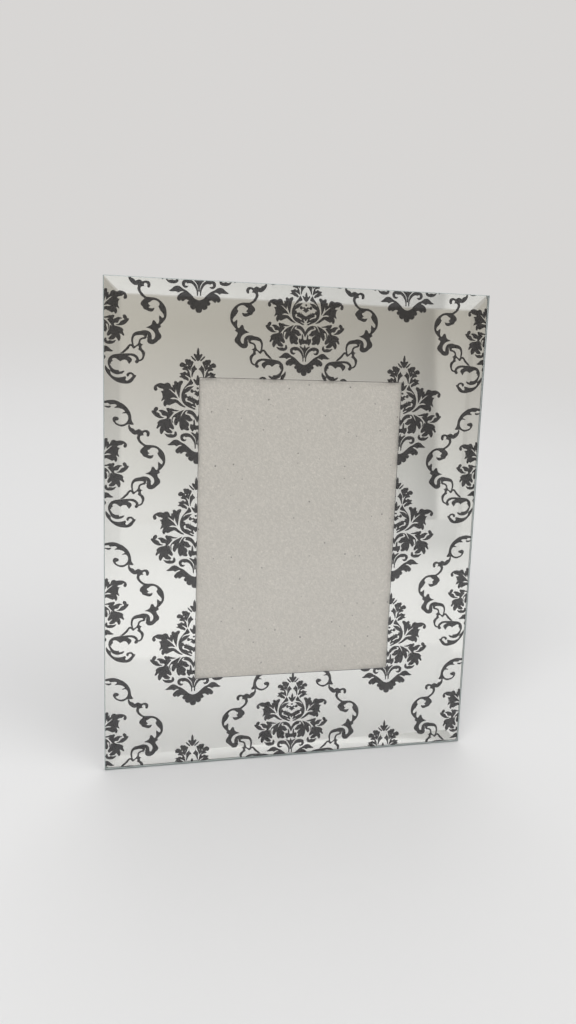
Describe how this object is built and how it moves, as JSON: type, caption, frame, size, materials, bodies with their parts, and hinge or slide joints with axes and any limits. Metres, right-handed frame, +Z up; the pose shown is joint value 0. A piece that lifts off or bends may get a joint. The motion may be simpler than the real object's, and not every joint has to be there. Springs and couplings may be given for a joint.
{
  "type": "mirrored photo frame",
  "caption": "Free-standing bevelled glass photo frame with a mirrored, damask-printed border, lift-out back, turn buttons and a folding easel leg on a stop hinge.",
  "frame": {"origin": "on the table, under the middle of the outline of the standing frame", "axes": "+Z up, the face of the glass looks along -Y and leans back 10 degrees, +X to the right as the viewer sees it"},
  "size_m": [0.18, 0.0598, 0.2225],
  "materials": {
    "clear_glass": "polished float glass with ground and polished bevels",
    "mirror": "silvered, with a charcoal damask print",
    "foam_tape": "white foam",
    "fibreboard": "bare fibreboard",
    "black_flock": "black flocked paper",
    "grey_card": "speckled grey board",
    "hardboard": "bare hardboard",
    "plated_steel": "nickel plated"
  },
  "bodies": {
    "frame": {"front_glass": "clear_glass", "mirror_coat": "mirror", "tape_top": "foam_tape", "tape_bottom": "foam_tape", "tape_left": "foam_tape", "tape_right": "foam_tape", "backing_board": "fibreboard", "backing_flock": "black_flock", "photo_card": "grey_card", "easel_back": "hardboard", "easel_back_flock": "black_flock", "hinge_back_leaf": "plated_steel", "hinge_pin": "plated_steel", "hinge_back_rivets": "plated_steel", "button_screw_left_upper": "plated_steel", "button_screw_right_upper": "plated_steel", "button_screw_left_lower": "plated_steel", "button_screw_right_lower": "plated_steel"},
    "leg": {"easel_leg": "hardboard", "leg_flock_front": "black_flock", "leg_flock_rear": "black_flock", "hinge_leg_leaf": "plated_steel", "hinge_leg_rivets": "plated_steel"},
    "turn_button_left_upper": {"turn_button_left_upper": "plated_steel"},
    "turn_button_right_upper": {"turn_button_right_upper": "plated_steel"},
    "turn_button_left_lower": {"turn_button_left_lower": "plated_steel"},
    "turn_button_right_lower": {"turn_button_right_lower": "plated_steel"}
  },
  "joints": [
    {"name": "leg_fold", "type": "hinge", "parent": "frame", "child": "leg", "pos_m": [0, 0.00556, 0.14625], "axis": [1, 0, 0], "range_deg": [-19, 0]},
    {"name": "turn_left_upper", "type": "hinge", "parent": "frame", "child": "turn_button_left_upper", "pos_m": [-0.0585, 0.00488, 0.15449], "axis": [0, 0.9848, -0.1736], "continuous": true},
    {"name": "turn_right_upper", "type": "hinge", "parent": "frame", "child": "turn_button_right_upper", "pos_m": [0.0585, 0.00488, 0.15449], "axis": [0, 0.9848, -0.1736], "continuous": true},
    {"name": "turn_left_lower", "type": "hinge", "parent": "frame", "child": "turn_button_left_lower", "pos_m": [-0.0585, -0.01075, 0.06586], "axis": [0, 0.9848, -0.1736], "continuous": true},
    {"name": "turn_right_lower", "type": "hinge", "parent": "frame", "child": "turn_button_right_lower", "pos_m": [0.0585, -0.01075, 0.06586], "axis": [0, 0.9848, -0.1736], "continuous": true}
  ]
}
